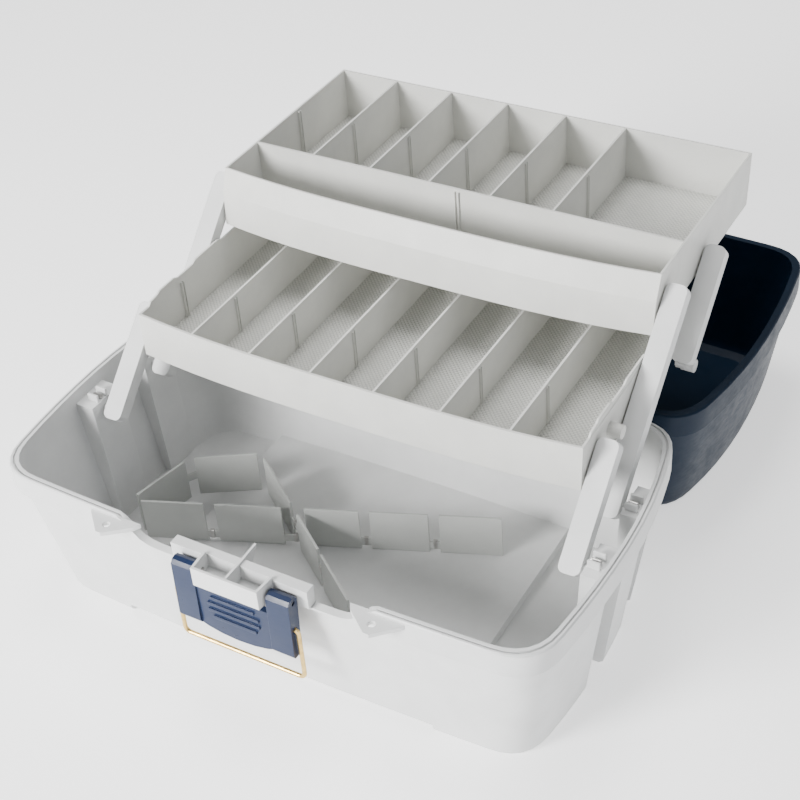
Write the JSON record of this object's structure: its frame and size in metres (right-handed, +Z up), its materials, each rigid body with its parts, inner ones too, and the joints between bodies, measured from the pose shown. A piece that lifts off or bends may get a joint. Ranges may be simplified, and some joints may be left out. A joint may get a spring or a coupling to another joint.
{
  "type": "fishing tackle box",
  "caption": "Open cantilever fishing tackle box: a tub with a hinged lid, two compartment trays on swinging arms, rack panels and a lever latch with a wire bail.",
  "frame": {"origin": "bottom centre of the whole open box: ground level, middle of its length and of its full open depth", "axes": "+Z up; +X along the box's length, to the right seen from the latch side; the latch side faces -Y and the open lid lies at +Y"},
  "size_m": [0.412, 0.5074, 0.214],
  "materials": {
    "housing_white": "satin moulded plastic",
    "tray_white": "satin moulded plastic, fine stipple on the floors",
    "rack_grey": "matt moulded plastic",
    "lid_navy": "dark navy satin plastic",
    "latch_blue": "slate blue satin plastic",
    "wire_brass": "bright plated wire",
    "pin_steel": "plain drawn wire"
  },
  "bodies": {
    "base": {"base_tub": "housing_white", "latch_housing": "housing_white", "hinge_pin_left": "pin_steel", "hinge_pin_right": "pin_steel", "front_pivot_pin_left": "housing_white", "front_pivot_pin_right": "housing_white", "rear_pivot_pin_left": "housing_white", "rear_pivot_pin_right": "housing_white", "latch_pin_left": "pin_steel", "latch_pin_right": "pin_steel", "rack_main": "rack_grey", "rack_cross": "rack_grey", "rack_side": "rack_grey"},
    "lid": {"lid_shell": "lid_navy", "handle_pin_left": "pin_steel", "handle_pin_right": "pin_steel"},
    "carry_handle": {"carry_handle": "lid_navy"},
    "rear_arms": {"rear_arm_left": "housing_white", "rear_arm_right": "housing_white"},
    "front_arms": {"front_arm_left": "housing_white", "front_arm_right": "housing_white"},
    "lower_tray": {"lower_tray": "tray_white"},
    "upper_tray": {"upper_tray": "tray_white"},
    "upper_arms": {"upper_arm_left": "housing_white", "upper_arm_right": "housing_white"},
    "latch_lever": {"latch_lever": "latch_blue"},
    "latch_bail": {"latch_bail": "wire_brass"}
  },
  "joints": [
    {"name": "rear_arm_swing", "type": "hinge", "parent": "base", "child": "rear_arms", "pos_m": [0, -0.07875, 0.097], "axis": [1, 0, 0], "range_deg": [0, 97]},
    {"name": "front_arm_swing", "type": "hinge", "parent": "base", "child": "front_arms", "pos_m": [0, -0.13525, 0.097], "axis": [1, 0, 0], "range_deg": [0, 97]},
    {"name": "lower_tray_level", "type": "hinge", "parent": "rear_arms", "child": "lower_tray", "pos_m": [0, -0.0274, 0.14747], "axis": [1, 0, 0], "range_deg": [-97, 0]},
    {"name": "upper_tray_level", "type": "hinge", "parent": "rear_arms", "child": "upper_tray", "pos_m": [0, 0.0211, 0.19513], "axis": [1, 0, 0], "range_deg": [-97, 0]},
    {"name": "upper_arm_swing", "type": "hinge", "parent": "lower_tray", "child": "upper_arms", "pos_m": [0, 0.04175, 0.1355], "axis": [1, 0, 0], "range_deg": [0, 97]},
    {"name": "lid_hinge", "type": "hinge", "parent": "base", "child": "lid", "pos_m": [0, 0.00125, 0.109], "axis": [1, 0, 0], "range_deg": [0, 180]},
    {"name": "latch_lever_pivot", "type": "hinge", "parent": "base", "child": "latch_lever", "pos_m": [0, -0.24435, 0.1044], "axis": [1, 0, 0], "range_deg": [-45, 0]},
    {"name": "latch_bail_pivot", "type": "hinge", "parent": "latch_lever", "child": "latch_bail", "pos_m": [0, -0.24635, 0.0835], "axis": [1, 0, 0], "range_deg": [-165, 0]},
    {"name": "handle_pivot", "type": "hinge", "parent": "lid", "child": "carry_handle", "pos_m": [0, 0.11525, 0.006], "axis": [1, 0, 0], "range_deg": [-90, 0]}
  ],
  "couplings": [
    {"joint": "front_arm_swing", "follows": "rear_arm_swing", "ratio": 1},
    {"joint": "lower_tray_level", "follows": "rear_arm_swing", "ratio": -1},
    {"joint": "upper_tray_level", "follows": "rear_arm_swing", "ratio": -1},
    {"joint": "upper_arm_swing", "follows": "rear_arm_swing", "ratio": 1},
    {"joint": "lid_hinge", "follows": "rear_arm_swing", "ratio": 1.8556}
  ]
}
